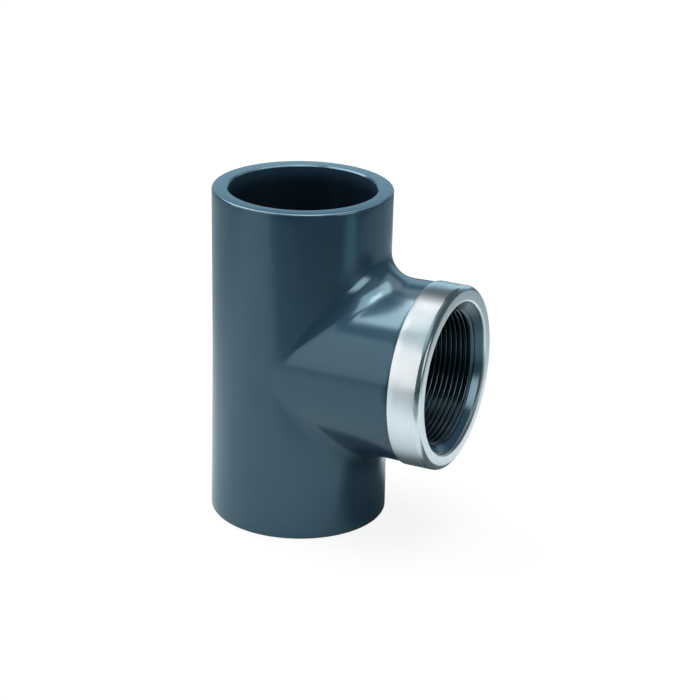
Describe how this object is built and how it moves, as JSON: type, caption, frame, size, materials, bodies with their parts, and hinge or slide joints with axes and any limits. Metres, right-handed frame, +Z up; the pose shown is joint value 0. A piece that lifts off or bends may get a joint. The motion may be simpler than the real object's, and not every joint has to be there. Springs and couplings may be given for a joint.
{
  "type": "pipe tee",
  "caption": "Plastic pipe tee with plain glue sockets on the run and a threaded branch held by a pressed steel ring.",
  "frame": {"origin": "the point where the axis of the run and the axis of the branch cross", "axes": "+Z up along the run, +X out along the threaded branch"},
  "size_m": [0.1114, 0.0794, 0.146],
  "materials": {
    "body": "dark blue-grey moulded PVC-U with a satin sheen",
    "ring": "pressed stainless steel, satin skirt and face with a brighter rolled corner"
  },
  "bodies": {
    "root": {"tee_body": "body", "reinforcing_ring": "ring"}
  },
  "joints": []
}
